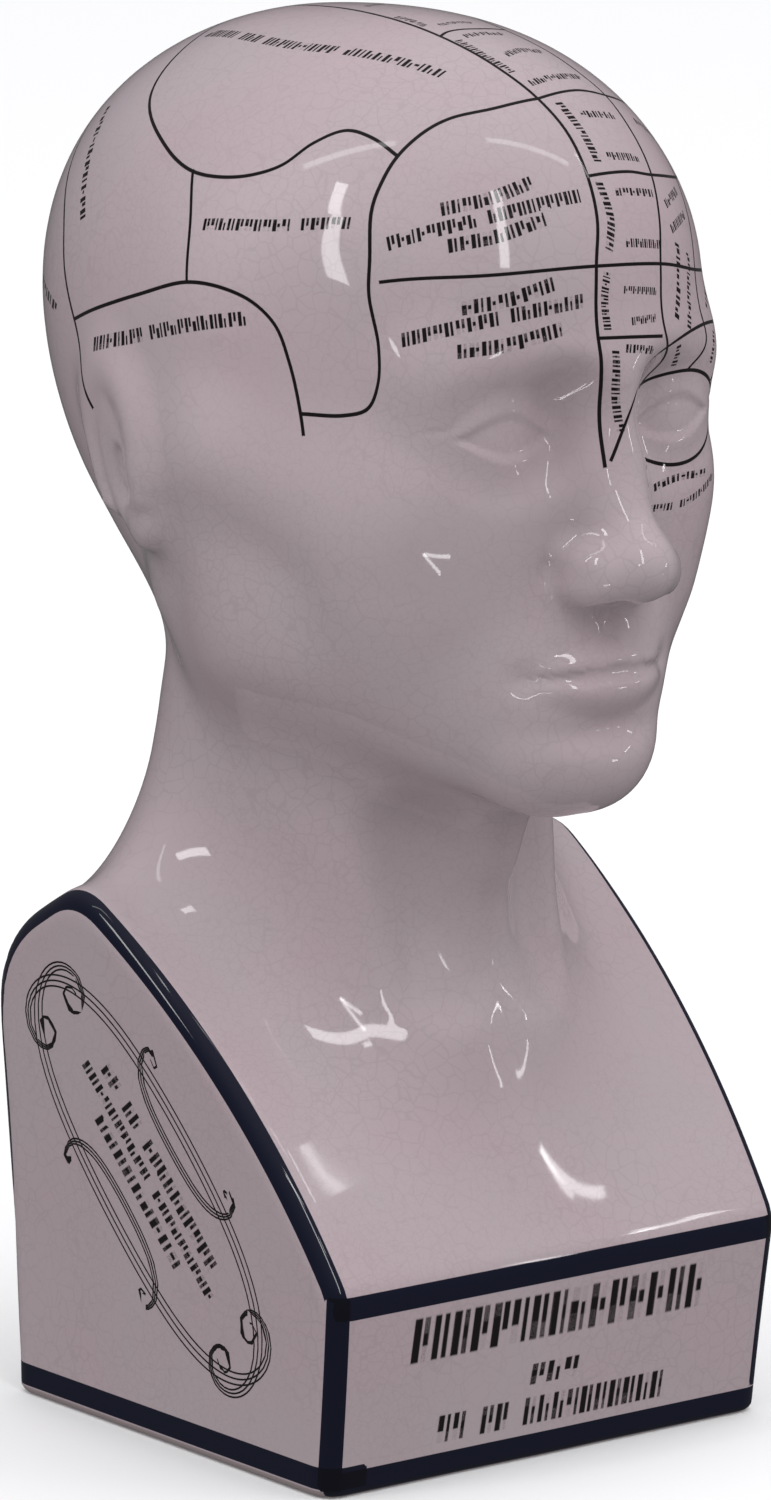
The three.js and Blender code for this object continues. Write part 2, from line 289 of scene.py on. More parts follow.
        # Eye sockets and eyes
        f = trim(f, -lump(m, (self.eye_side, -69.5, self.eye_level + 1), (15.5, 14, 10), -16), 10)
        f = trim(f, -lump(m, (12.5, -67, self.eye_level + 3), (5.5, 9, 8)), 9)
        f = join(f, self.eye(m), 5.5)
        # Nose, with shallow nostrils
        f = join(f, limb(p, (0, -56, self.eye_level + 4), (0, -69, self.nose_level + 10), 6, 6.8), 10)
        f = join(f, lump(p, (0, -71.6, self.nose_level + 7.5), (7, 7.4, 6.2)), 6)
        f = join(f, lump(m, (7.5, -65.8, self.nose_level + 5.8), (4.6, 7.6, 5.2)), 6)
        f = trim(f, -lump(m, (4.7, -69, self.nose_level + 0.3), (2.1, 3.8, 1.8)), 3)
        return f + (self.hollows(p) - self.lips(p)) * ease(38, 48, -p[:, 1])

    def ear(self, p):
        """A thin plate with a rolled edge, an inner ridge, a lobe and a bowl in front."""
        m = (mirrored(p) - np.array(self.ear_place)) / self.ear_size
        back, z = turned(m[:, 1], m[:, 2], self.ear_lean)
        x, y = turned(m[:, 0], back, self.ear_flare)
        q = np.stack([x, y, z], 1)
        wide = 11 + 1.5 * np.clip(z / 20, -1, 1)
        outer_ring = (np.hypot(y / wide, z / 20) - 1) * wide
        inner_ring = (np.hypot((y + 1) / 6, (z + 1) / 12.5) - 1) * 6
        roll = trim(np.hypot(outer_ring, x - 3.6) - 2.3, -(z + 14), 4)
        ridge = trim(np.hypot(inner_ring, x - 3.4) - 1.5, -y, 3)
        f = join(lump(q, (0, 0, 0), (4.6, 11.5, 20.5)), roll, 2)
        f = join(f, lump(q, (1.5, -3.5, -17), (3.4, 5.5, 6)), 3)
        f = join(f, ridge, 1.5)
        f = trim(f, -lump(q, (5.2, -2.5, -3.5), (4.2, 4.8, 8)), 2.5)
        return join(f, lump(q, (2.4, -9, -4), (2.6, 2.6, 4)), 3) * self.ear_size

    def neck(self, p):
        m = mirrored(p)
        t = np.clip((p[:, 2] + 57) / 100, 0, 1)
        wide = self.neck_width / 2 / self.unit - 0.5 * t
        deep = self.neck_width / 2 / self.unit + 1 + t
        f = (np.hypot(m[:, 0] / wide, (p[:, 1] - 4.3 - 12 * t) / deep) - 1) * wide
        f = trim(f, p[:, 2] - 68, 20)
        f = join(f, limb(m, (33, 20, 36), (7, -27.5, -49), 8, 4.5), 10)
        f = join(f, lump(p, (0, -26, -8), (8, 9, 12)), 10)
        # Hollow between the windpipe and the muscle beside it
        return trim(f, -limb(m, (19, -30, -8), (14.5, -33, -36), 9.5, 8), 8)

    def side_at(self, z):
        """Half the block's width at a height."""
        up = z / self.shoulder_height
        return self.block_width / 2 + self.side_spread * up * (0.24 + 0.76 * up)

    def front_at(self, z):
        """Place of the block's front wall at a height."""
        return -self.block_depth / 2 - self.front_lean * z

    def profile(self, y, z, crown=0.0):
        """Plaque, chest, rounded shoulders and back of the block, seen from the side."""
        arc_y = self.plaque_top_y + self.chest_radius * math.sin(self.chest_foot)
        arc_z = self.plaque_height - self.chest_radius * math.cos(self.chest_foot)
        shoulder_y = self.block_depth / 2 - self.shoulder_setback
        level = z - crown
        front = self.front_at(z) - y
        back = y - self.block_depth / 2 - self.back_lean * z
        chest = np.hypot(y - arc_y, level - arc_z) - self.chest_radius
        top = ((level - self.shoulder_height) * math.cos(self.shoulder_fall)
               + (y - shoulder_y) * math.sin(self.shoulder_fall))
        return trim(trim(trim(chest, top, 6.7), back, 15.2), front, 2)

    def bust(self, p, neck):
        x, y, z = p.T
        across = (1 - np.clip(2 * x / self.block_width, -1, 1) ** 2) ** 2
        crown = self.chest_crown * across * ease(self.plaque_height, 0.8 * self.shoulder_height, z)
        f = join(self.profile(y, z, crown), neck, 20)
        m = mirrored(p)
        collar = (10, 29.3, self.shoulder_height + 24.5)
        shoulder = (0.335 * self.block_width, self.block_depth / 2 - 24.2, self.shoulder_height - 25.2)
        f = join(f, limb(m, collar, shoulder, 16.1, 18), 20)
        f = trim(f, m[:, 0] - self.side_at(z), self.corner_round)
        return trim(f, -z, self.foot_round)

    def depth(self, p):
        q = (p - np.array([0, 0, self.chin_height])) / self.unit
        upper = join(self.head(q), self.ear(q), 8) * self.unit
        return join(upper, self.bust(p, self.neck(q) * self.unit), 14)

    def slope(self, p):
        steps = np.eye(3) * self.slope_step
        rises = [self.depth(p + step) - self.depth(p - step) for step in steps]
        return np.stack(rises, 1) / (2 * self.slope_step)

    def strike(self, inner, outer):
        """Where each line from outside first enters the casting."""
        shape = outer.shape
        a = outer.reshape(-1, 3)
        b = np.broadcast_to(inner, shape).reshape(-1, 3)
        span, way = measure(b - a), direct(b - a)
        near, gone = np.zeros(len(a)), np.zeros(len(a))
        live = np.arange(len(a))
        while len(live):
            f = self.depth(a[live] + way[live] * gone[live, None])
            outside = (f > 0) & (gone[live] < span[live])
            live, f = live[outside], f[outside]
            near[live] = gone[live]
            gone[live] += np.maximum(self.caution * f, self.least_step)
        for _ in range(self.halvings):
            middle = (near + gone) / 2
            inside = self.depth(a + way * middle[:, None]) < 0
            near, gone = np.where(inside, near, middle), np.where(inside, middle, gone)
        return (a + way * gone[:, None]).reshape(shape)

    def settle(self, p, rounds=1, pull=1.0):
        """Moves points along the depth's slope onto the surface, the whole way or a part of it."""
        for _ in range(rounds):
            slope = self.slope(p)
            move = self.depth(p)[:, None] * slope
            move /= np.maximum((slope ** 2).sum(1), self.least_slope)[:, None]
            p = p - pull * move * np.minimum(1, self.longest_move / np.maximum(measure(move), TINY))[:, None]
        return p


# The cage: columns run from the crown to the foot, with one down each corner of the block, and
# each point is where a line from outside meets the casting

FRONT_COLUMNS, SIDE_COLUMNS, BACK_COLUMNS = 40, 18, 10
CORNER_TURN, BACK_TURN = 50.0, 132.0
# Share of the front columns' turn that is even; the rest crowds them towards the middle
EVEN_SHARE = 0.55
# Rows over the head: first latitude, last latitude and how many
HEAD_ROWS = ((90, 25, 11), (25, -45, 30), (-45, -57, 4))
NECK_ROWS, CHEST_ROWS, WALL_ROWS = 5, 10, 9
EVENINGS = 8
# The neck's lines run to a point in the throat and start so far outside it, less in front and more behind
THROAT_DEPTH, NECK_OUT, NECK_BEHIND = 6.0, 20.0, 9.0
# Lines to the block come from a core: share of the outline, and how far under the rim it lies
CORE, CORE_DROP = 0.25, 0.38
# How the chest's rows crowd towards the rim, and how far past the outline the lines start
CHEST_CROWDING, CHEST_BEYOND, WALL_BEYOND = 1.7, 0.35, 0.2
# Share of the outline at which the underside's inner row lies
UNDERSIDE_ROW = 0.6


def steps(count):
    """Share of the way gone after each of so many steps."""
    return np.arange(1, count + 1) / count


def columns():
    """Turn of each column about the upright axis and its place on the block's outline."""
    s = np.arange(FRONT_COLUMNS) * 2 / FRONT_COLUMNS - 1
    t = np.arange(SIDE_COLUMNS) / SIDE_COLUMNS
    u = np.arange(BACK_COLUMNS) / BACK_COLUMNS
    side = (BACK_TURN - CORNER_TURN) * t
    turn = np.concatenate([CORNER_TURN * (EVEN_SHARE * s + (1 - EVEN_SHARE) * s ** 3), CORNER_TURN + side,
                           BACK_TURN + (360 - 2 * BACK_TURN) * u, side - BACK_TURN])
    x = np.concatenate([s, 1 + 0 * t, 1 - 2 * u, 0 * t - 1])
    y = np.concatenate([0 * s, t, 1 + 0 * u, 1 - t])
    return np.radians(turn), x, y


def rim_above(casting, x, y):
    """Upper edge of the block above each column."""
    rear = 0.485 * casting.block_depth
    y = casting.plaque_top_y + (rear - casting.plaque_top_y) * y
    low = np.full(y.shape, 0.9 * casting.plaque_height)
    high = np.full(y.shape, 1.15 * casting.shoulder_height)
    for _ in range(2 * casting.halvings):
        middle = (low + high) / 2
        inside = casting.profile(y, middle) < 0
        low, high = np.where(inside, middle, low), np.where(inside, high, middle)
    return np.stack([x * casting.side_at(low), y, low], 1)


def cage_rows(casting):
    turn, x, y = columns()
    level = np.stack([np.sin(turn), -np.cos(turn), 0 * turn], 1)
    up = np.array([0, 0, 1.0])
    centre = np.tile(casting.centre, (len(turn), 1))
    lines = []

    def sweep(start, end, shares, beyond):
        for w in shares:
            inner = start[0] * (1 - w) + end[0] * w
            outer = start[1] * (1 - w) + end[1] * w
            lines.append((inner, outer + beyond * (outer - inner)))

    for highest, lowest, rows in HEAD_ROWS:
        for lift in np.radians(highest + (lowest - highest) * steps(rows)):
            way = level * math.cos(lift) + up * math.sin(lift)
            lines.append((centre, centre + casting.reach * casting.unit * way))
    around = casting.neck_width / 2 + NECK_OUT - NECK_BEHIND * np.cos(turn)[:, None]
    throat_level = (casting.chin_height + casting.shoulder_height) / 2 - 1
    throat = np.tile([0, THROAT_DEPTH * casting.unit, throat_level], (len(turn), 1))
    collar = (throat, throat + level * around)
    edge = rim_above(casting, x, y)
    core = edge * np.array([CORE, CORE, 1]) - up * CORE_DROP * casting.shoulder_height
    foot = np.stack([x * casting.block_width / 2, (y - 0.5) * casting.block_depth,
                     0 * x + 0.6 * casting.foot_round], 1)
    deep = foot * np.array([CORE, CORE, 1])
    sweep(lines[-1], collar, steps(NECK_ROWS), 0)
    sweep(collar, (core, edge), 1 - (1 - steps(CHEST_ROWS)) ** CHEST_CROWDING, CHEST_BEYOND)
    sweep((core, edge), (deep, foot), 0.5 - 0.5 * np.cos(np.pi * steps(WALL_ROWS)), WALL_BEYOND)
    return casting.strike(np.array([a for a, b in lines]), np.array([b for a, b in lines]))


def even_out(casting, rows):
    """Evens the spacing over the head and neck, where the lines fan out unevenly."""
    last = sum(rows for highest, lowest, rows in HEAD_ROWS) + NECK_ROWS
    for _ in range(EVENINGS):
        q = rows[:last]
        beside = (np.roll(q, 1, 1) + np.roll(q, -1, 1))[1:-1] / 2
        q = 0.5 * q[1:-1] + 0.25 * beside + 0.125 * (q[:-2] + q[2:])
        rows[1:last - 1] = casting.settle(q.reshape(-1, 3)).reshape(q.shape)
    return rows


def finished(form, name):
    """Turns a bmesh into a mesh."""
    mesh = bpy.data.meshes.new(name)
    form.to_mesh(mesh)
    form.free()
    return mesh


def cage_mesh(casting):
    """A ball of quads whose rings and segments take the places of the rows and columns."""
    rows = even_out(casting, cage_rows(casting))
    far_above = casting.centre + np.array([[0, 0, casting.reach * casting.unit]])
    crown = casting.strike(casting.centre, far_above)[0]
    # Two more rows lie on the underside
    inset = 1 - 2 * casting.foot_round / casting.block_width
    for inward in (inset, UNDERSIDE_ROW / inset):
        rows = np.concatenate([rows, [rows[-1] * np.array([inward, inward, 0])]])
    rings, segments = len(rows) + 1, rows.shape[1]
    form = bmesh.new()
    bmesh.ops.create_uvsphere(form, u_segments=segments, v_segments=rings, radius=1.0)
    for vert in form.verts:
        x, y, z = vert.co
        ring = round(math.acos(max(-1.0, min(1.0, z))) / math.pi * rings)
        segment = round(math.atan2(y, x) / math.tau * segments) % segments
        place = crown if ring == 0 else (0, 0, 0) if ring == rings else rows[ring - 1, segment]
        vert.co = Vector(place) * MM
    return finished(form, PIECE)


def read(collection, name, width=3, kind=np.float32):
    values = np.empty(len(collection) * width, kind)
    collection.foreach_get(name, values)
    return values.reshape(-1, width).astype(float if kind is np.float32 else int)


# The fine skin

FINE_LEVELS = 2
SETTLINGS = 3
# Width of a groove that the skin may bridge
BRIDGE = 0.6
# Where the skin and the form lean so unlike each other, its points are loose
LOOSE = 0.6
RELAXINGS = 8
# How alike they lean where the form's slope begins to be trusted, and where it is trusted wholly
TRUST_FROM, TRUST_TO = 0.75, 0.93


def leanings(casting, mesh, places):
    """The skin's own normals, the casting's slopes and how well they agree."""
    mesh.vertices.foreach_set("co", (places * MM).astype(np.float32).ravel())
    mesh.update()
    own = read(mesh.vertex_normals, "vector")
    slope = direct(casting.slope(places))
    return own, slope, (own * slope).sum(1)


def relax(mesh, places, loose):
    """Draws the loose points and those beside them to the middle of their neighbours."""
    a, b = read(mesh.edges, "vertices", 2, np.int32).T
    count = np.bincount(np.concatenate([a, b]), minlength=len(places))[:, None]
    beside = loose.copy()
    beside[a] |= loose[b]
    beside[b] |= loose[a]
    for _ in range(RELAXINGS):
        total = np.zeros_like(places)
        np.add.at(total, a, places[b])
        np.add.at(total, b, places[a])
        places = np.where(beside[:, None], total / count, places)
    return places


def refine(casting, piece):
    """Divides the cage and lays every corner of the fine skin on the surface."""
    finer = piece.modifiers.new("Finer skin", "SUBSURF")
    finer.levels = finer.render_levels = FINE_LEVELS
    bpy.context.view_layer.objects.active = piece
    bpy.ops.object.modifier_apply(modifier=finer.name)
    mesh = piece.data
    places = read(mesh.vertices, "co") / MM
    # The skin bridges grooves that no line from outside reaches, such as those behind the ears
    pull = np.minimum(1, BRIDGE / np.maximum(casting.depth(places), TINY))[:, None] ** 4
    places = casting.settle(places, SETTLINGS, pull)
    places[:, 2] = np.maximum(places[:, 2], 0)
    mesh.polygons.foreach_set("use_smooth", np.ones(len(mesh.polygons), bool))
    places = relax(mesh, places, leanings(casting, mesh, places)[2] < LOOSE)
    own, slope, agree = leanings(casting, mesh, places)
    trust = pull * ease(TRUST_FROM, TRUST_TO, agree)[:, None]
    mesh.normals_split_custom_set_from_vertices((own + trust * (slope - own)).tolist())


# Ink. A stroke is a line on the surface, and the skin's corners near it hold how far they lie
# across it and beyond its ends, so that the glaze can draw it as sharp as print.

STEP, WORD_STEP = 0.5, 0.25
REACH = 5.0
FAR = 99.0
# How many points each way a corner looks along a stroke for the nearest, and a line's fewest steps
LOOK, FEWEST_STEPS = 8, 4


def spline(points, count):
    """Smooth curve through a few points, each stretch taking its time by its length."""
    p = np.array(points, float)
    p = np.concatenate([[2 * p[0] - p[1]], p, [2 * p[-1] - p[-2]]])
    times = np.concatenate([[0], np.cumsum(np.maximum(measure(np.diff(p, axis=0)), TINY) ** 0.5)])
    made = []
    for k in range(len(p) - 3):
        time, curve = times[k:k + 4], p[k:k + 4]
        t = np.linspace(time[1], time[2], count, endpoint=False)[:, None]
        for ends in (((0, 1), (1, 2), (2, 3)), ((0, 2), (1, 3)), ((1, 2),)):
            curve = [((time[j] - t) * a + (t - time[i]) * b) / (time[j] - time[i])
                     for (i, j), a, b in zip(ends, curve, curve[1:])]
        made += curve
    return np.concatenate(made + [p[-2:-1]])


def respace(points, step):
    """The same line with points an even step apart."""
    gone = np.concatenate([[0], np.cumsum(measure(np.diff(points, axis=0)))])
    count = max(round(gone[-1] / step), FEWEST_STEPS)
    at = np.linspace(0, gone[-1], count + 1)
    return np.stack([np.interp(at, gone, column) for column in points.T], 1)


class Stroke:
    """A line on the surface. Data holds what the glaze needs besides the distances."""

    def __init__(self, casting, points, data, step=STEP):
        self.points = respace(points, step)
        self.along = direct(np.gradient(self.points, axis=0))
        self.side = direct(np.cross(casting.slope(self.points), self.along))
        self.step = measure(np.diff(self.points, axis=0)).mean()
        self.data = np.broadcast_to(np.asarray(data, float), (len(self.points),))


def lay(mesh, places, name, strokes, write):
    """Stores a layer of strokes on the corners of the faces that they pass; all faces are quads."""
    corners = read(mesh.loops, "vertex_index", 1, np.int32).reshape(-1, 4)
    centres = places[corners].mean(1)
    points, along, side, data = (np.concatenate([getattr(stroke, part) for stroke in strokes])
                                 for part in ("points", "along", "side", "data"))
    counts = [len(stroke.points) for stroke in strokes]
    owner = np.repeat(np.arange(len(strokes)), counts)
    last = np.cumsum(counts) - 1
    first = last - counts + 1
    low, high = points.min(0) - REACH, points.max(0) + REACH
    close = np.flatnonzero(((centres > low) & (centres < high)).all(1))
    tree = KDTree(len(points))
    for k, point in enumerate(points):
        tree.insert(point, k)
    tree.balance()
    found = [tree.find(centre) for centre in centres[close]]
    reached = np.array([away < REACH for place, k, away in found])
    nearest = np.repeat(np.array([k for place, k, away in found])[reached], 4)
    close = close[reached]
    at = places[corners[close]].reshape(-1, 3)
    tries = nearest[:, None] + np.arange(-LOOK, LOOK + 1)
    tries = np.clip(tries, first[owner[nearest]][:, None], last[owner[nearest]][:, None])
    best = tries[np.arange(len(tries)), measure(points[tries] - at[:, None]).argmin(1)]
    line = owner[best]
    step = np.array([stroke.step for stroke in strokes])[line]
    off = at - points[best]
    across = (off * side[best]).sum(1)
    gone = (best - first[line]) * step + (off * along[best]).sum(1)
    span = (last[line] - first[line]) * step
    layer = np.tile([FAR, FAR, 0.0], (len(corners), 4, 1))
    layer[close] = write(across, gone, span, data[best]).reshape(-1, 4, 3)
    attribute = mesh.attributes.new(name, "FLOAT_VECTOR", "CORNER")
    attribute.data.foreach_set("vector", layer.astype(np.float32).ravel())


def line_record(across, gone, span, half_width):
    """Across, beyond the nearer end, and half the line's width or the gap between its lines."""
    beyond = np.maximum(np.maximum(-gone, gone - span), 0)
    return np.stack([across, beyond, half_width], 1)


# A row's code holds its number, how many cells it has and, after the point, its height
ROW_CODE, HEIGHT_CODE = 64, 100


def word_record(across, gone, span, code):
    """Place along the word in cells, place across it in half heights, and its code."""
    height = np.modf(code)[0] * HEIGHT_CODE
    cells = np.floor(code) % ROW_CODE
    return np.stack([gone / span * cells, across * 2 / height, np.floor(code)], 1)


def row_strokes(casting, rows, number):
    """Splits each row, given as height, cells in each word and line, into words one cell apart."""
    made = []
    for height, letters, line in rows:
        line = respace(line, WORD_STEP)
        total, last = sum(letters) + len(letters) - 1, len(line) - 1
        at = 0
        for cells in letters:
            start, end = at / total, (at + cells) / total
            part = line[int(start * last):math.ceil(end * last) + 1]
            code = number * ROW_CODE + cells + height / HEIGHT_CODE
            made.append(Stroke(casting, part, code, WORD_STEP))
            at += cells + 1
            number += 1
    return made


# Chart of the skull, as longitude and latitude in degrees seen from the middle of the skull.
# Longitude nought is the face and grows towards the figure's left.

CHART = {
    "chart_a": [
        # Line over the middle of the head, from the bridge of the nose to the nape
        [(-4, -9), (-4, 2), (-5, 11), (-4, 22), (-2, 29), (-1, 37), (-1, 44), (-3, 51), (-8, 60), (-18, 71),
         (-60, 83), (-160, 77), (-176, 60), (-179, 40), (-179, 20), (180, 2)],
        # Lower region behind the temple
        [(-125, 6), (-104, 15), (-88, 20), (-77, 20), (-70, 18), (-65, 14), (-62, 7), (-59, -4), (-58, -8)],
    ],
    "chart_b": [
        # Edge of the upper region
        [(-175, 58), (-150, 54), (-130, 46), (-109, 42), (-96, 40), (-85, 40), (-75, 41), (-67, 43),
         (-60, 47), (-52, 49), (-45, 47), (-39, 43)],
        # Edge of the hind region
        [(-178, 42), (-155, 34), (-145, 27), (-135, 20), (-130, 13), (-125, 6), (-121, -1), (-117, -9)],
    ],
    "chart_c": [
        # Edge of the forehead's region
        [(-3, 51), (-16, 50), (-27, 49), (-33, 47), (-39, 43), (-42, 39), (-44, 34), (-44, 26), (-44, 20),
         (-42, 11), (-42, 4), (-44, -1), (-49, -3), (-59, -4)],
        [(-95, 40), (-90, 31), (-88, 20)],
    ],
}
FIELDS = {
    "chart_a": [
        [(11, 1), (13, 5), (10, 11), (11, 21), (14, 28), (18, 36), (21, 44), (24, 51), (24, 56), (25, 61),
         (26, 66), (29, 71), (42, 76), (75, 78), (115, 75), (145, 66), (162, 54), (170, 40)],
        [(21, 3), (25, 7), (24, 13), (25, 20), (29, 28), (34, 36), (42, 45), (55, 56), (75, 61)],
        [(30, 0), (38, 5), (42, 11), (44, 18), (48, 26), (56, 36), (68, 46), (86, 54), (110, 58), (140, 56)],
        [(64, -8), (66, 3), (65, 14), (72, 28), (86, 40)],
        [(104, -8), (108, 6), (106, 18), (102, 30), (96, 46)],
        [(140, -8), (138, 6), (136, 22), (130, 36), (120, 50)],
    ],
    "chart_b": [
        [(-3, 51), (12, 52), (27, 50), (48, 47), (68, 46)],
        [(-18, 71), (-12, 72.5), (-3, 73), (10, 72.5), (29, 71)],
        [(-1, 36), (10, 36), (18, 35), (34, 34), (56, 34), (78, 34), (101, 36), (130, 38), (165, 40)],
        [(-42, 22), (-23, 22), (-4, 22), (12, 21), (25, 19), (45, 17), (65, 14), (85, 14), (106, 18),
         (136, 22), (160, 22), (179, 20)],
        [(-5, 11), (9, 10)],
        [(66, 2), (86, 0), (108, 4), (138, 4), (160, 3), (179, 2)],
    ],
    "chart_c": [
        [(-3, -8), (1, -1), (6, 5), (13, 8.5), (22, 10), (32, 9.5), (42, 7), (52, 1), (59, -6)],
        [(6, 5), (8.5, 1), (7, -4)],
    ],
}
# Ring round the left eye: middle, reach and points
EYE_RING = (19.0, -5.0), (13.0, 8.0), 60

# Rows of strokes: height in millimetres, cells in each word and the way
LABELS = [
    (2.7, (5, 3, 9, 10), [(-150, 57), (-96, 69), (-51, 67), (-25, 59)]),
    (2.4, (10, 5), [(-86, 31), (-67, 32), (-48, 32)]),
    (2.8, (9,), [(-31, 33), (-22, 34), (-13, 36)]),
    (2.8, (9, 10), [(-41, 28), (-23, 31), (-4, 33)]),
    (2.8, (9,), [(-30, 27), (-21, 28), (-12, 30)]),
    (2.8, (8,), [(-28, 17), (-20, 18), (-12, 20)]),
    (2.8, (9, 7), [(-38, 12), (-23, 15), (-7, 17)]),
    (2.8, (9,), [(-29, 10), (-20, 11), (-11, 13)]),
    (2.9, (7, 12), [(-116, 3), (-94, 10), (-72, 15)]),
    (2.3, (10,), [(-146, 38), (-136, 31), (-127, 23)]),
    (2.2, (11,), [(-166, 12), (-150, 9), (-133, 6)]),
    # Small fields between the middle line and the next
    (1.9, (8,), [(2, 50), (3, 44), (3, 38)]),
    (1.8, (6,), [(6, 47), (18, 46)]),
    (1.8, (7,), [(6, 39), (16, 38)]),
    (1.9, (7,), [(1, 35), (1, 29), (-1, 24)]),
    (1.7, (6,), [(4, 33), (15, 32)]),
    (1.8, (8,), [(3, 25), (12, 24)]),
    (1.8, (8,), [(-2, 21), (-3, 17), (-3, 12)]),
    (1.5, (8,), [(1, 18), (9, 17)]),
    (1.6, (6,), [(2, 13), (8, 13)]),
    (1.7, (5,), [(0, 9), (7, 8)]),
    (1.8, (9,), [(-2, 9), (-2, 3), (-1, -4)]),
    # Over the left eye
    (1.4, (3,), [(15, 8), (17, 4)]),
    (1.4, (4,), [(29, 8.5), (28, 3)]),
    # Fields of the figure's left
    (1.8, (6,), [(18, 30), (27, 32)]),
    (1.8, (6,), [(17, 26), (26, 28)]),
    (1.8, (6,), [(14, 12), (16, 17), (18, 24)]),
    (1.8, (8,), [(18, 10), (20, 16), (22, 22)]),
    (1.8, (7,), [(28, 12), (32, 17), (40, 24)]),
    (1.8, (6, 4), [(28, 45), (38, 41), (48, 38)]),
    (1.8, (8,), [(50, 22), (60, 24), (68, 22)]),
    (1.8, (7,), [(50, 10), (62, 9)]),
    (1.8, (5, 4), [(74, 22), (88, 23), (100, 24)]),
    (1.8, (8,), [(72, 8), (88, 7), (100, 9)]),
    (1.8, (6,), [(112, 28), (126, 29)]),
    (1.8, (8,), [(112, 12), (132, 12)]),
    (1.8, (8,), [(146, 30), (170, 30)]),
    (1.8, (6,), [(146, 12), (168, 12)]),
    (1.8, (7,), [(74, 42), (92, 44), (106, 48)]),
    # Fields of the crown
    (1.8, (10,), [(-2, 54.5), (9, 55.5), (21, 55)]),
    (1.8, (8,), [(0, 62.5), (9, 63.5), (20, 62.5)]),
    (1.8, (7,), [(-7, 70), (3, 70.5), (18, 69.5)]),
    (1.8, (10,), [(-12, 69), (-8, 63), (-4, 57.5)]),
    (1.7, (6,), [(-42, 82.5), (-28, 80), (-20, 76)]),
    (1.6, (7,), [(-11, 76), (3, 76.5), (18, 75.5)]),
    (1.8, (8,), [(-160, 84), (160, 83), (130, 80)]),
    (1.8, (8,), [(172, 70), (150, 70)]),
    # Under the left eye
    (1.5, (6,), [(12, -16), (20, -15), (28, -15)]),
    (1.5, (4, 7), [(10, -19), (20, -19), (32, -16)]),
]


def ring_line():
    (turn, lift), (wide, high), count = EYE_RING
    t = np.linspace(0, math.tau, count)
    return [(turn + wide * math.cos(a), lift + high * math.sin(a)) for a in t]


def on_skull(casting, points, count=16):
    """A smooth line through longitudes and latitudes, laid on the skull."""
    ways = direct(spline(facing(*np.array(points, float).T), count))
    return casting.strike(casting.centre, casting.centre + ways * casting.reach * casting.unit)


def chart_layers(casting, sizes):
    wide, fine = sizes.line_width / MM / 2, sizes.fine_width / MM / 2
    layers = {name: [] for name in CHART}
    for lines, half in ((CHART, wide), (FIELDS, fine)):
        for name, group in lines.items():
            layers[name] += [Stroke(casting, on_skull(casting, points), half) for points in group]
    layers["chart_c"].append(Stroke(casting, on_skull(casting, ring_line(), 4), wide))
    return layers


# Flourish of the side panels. The panel's own axes run down the flourish and across it.

PANEL_MIDDLE = (4.0, 54.0)
PANEL_TILT = 47.0


def on_panel(casting, line, side):
    """Lays a flat line on a side wall; side is 1 or -1."""
    ahead, below = turned(line[:, 0], line[:, 1], -PANEL_TILT)
    y, z = PANEL_MIDDLE[0] - ahead, PANEL_MIDDLE[1] - below
    return np.stack([side * casting.side_at(z), y, z], 1)


SCROLL_POINTS = 400
# The long and the short scrolls: place across the flourish and widest gap between strands
LONG_ASIDE, LONG_GAP = -16.2, 1.4
SHORT_ASIDE, SHORT_GAP = -10.6, 0.75


def scroll(length, middle, curl, power):
    """A line that is nearly straight in the middle and curls into a spiral at both ends.

    Middle and curl are its curvature there and what each end adds, in turns for each millimetre.
    """
    step = length / (SCROLL_POINTS - 1)
    s = np.linspace(0, 1, SCROLL_POINTS)
    bend = middle + curl * ((1 - s) ** power + s ** power)
    turn = np.concatenate([[0], np.cumsum((bend[1:] + bend[:-1]) / 2)]) * math.tau * step
    turn -= turn[SCROLL_POINTS // 2]
    way = np.stack([np.cos(turn), np.sin(turn)], 1) * step
    line = np.concatenate([[[0, 0]], np.cumsum((way[1:] + way[:-1]) / 2, 0)])
    return line - line[SCROLL_POINTS // 2]


def flourish():
    """The lines of one flourish: layer, line and the gap between its three strands at each point."""
    made = []
    s = np.linspace(0, 1, SCROLL_POINTS)
    swell = np.clip(5 * s * (1 - s), 0, 1) ** 1.5
    long_scroll = scroll(length=176, middle=0.0002, curl=0.088, power=8.4) + [0, LONG_ASIDE]
    short_scroll = scroll(length=66, middle=0, curl=0.17, power=8) * [1, -1] + [0, SHORT_ASIDE]
    for flip, name in ((1, "scroll_a"), (-1, "scroll_b")):
        made.append((name, long_scroll * [1, flip], LONG_GAP * swell))
        made.append(("scroll_c", short_scroll * [1, flip], SHORT_GAP * swell))
    return made


def scroll_layers(casting):
    layers = {"scroll_a": [], "scroll_b": [], "scroll_c": []}
    for side in (-1, 1):
        for name, line, gap in flourish():
            stroke = Stroke(casting, on_panel(casting, line, side), 0)
            stroke.data = np.interp(np.linspace(0, 1, len(stroke.points)), np.linspace(0, 1, len(gap)), gap)
            layers[name].append(stroke)
    return layers


# Rows of strokes: height, cells in each word, then level or place across the flourish, and half length
PLAQUE_ROWS = ((9.4, (15,), 30.0, 38.0), (4.4, (3,), 18.0, 6.5), (5.8, (2, 2, 10), 10.4, 29.5))
PANEL_ROWS = ((3.8, (2, 2, 10), -4.8, 24), (2.8, (10, 9), 0.3, 28), (3.2, (9,), 5.0, 18))
# The chart's rows are numbered from the first of these, and the block's from the second
FIRST_LABEL, FIRST_BLOCK_ROW = 1, 100


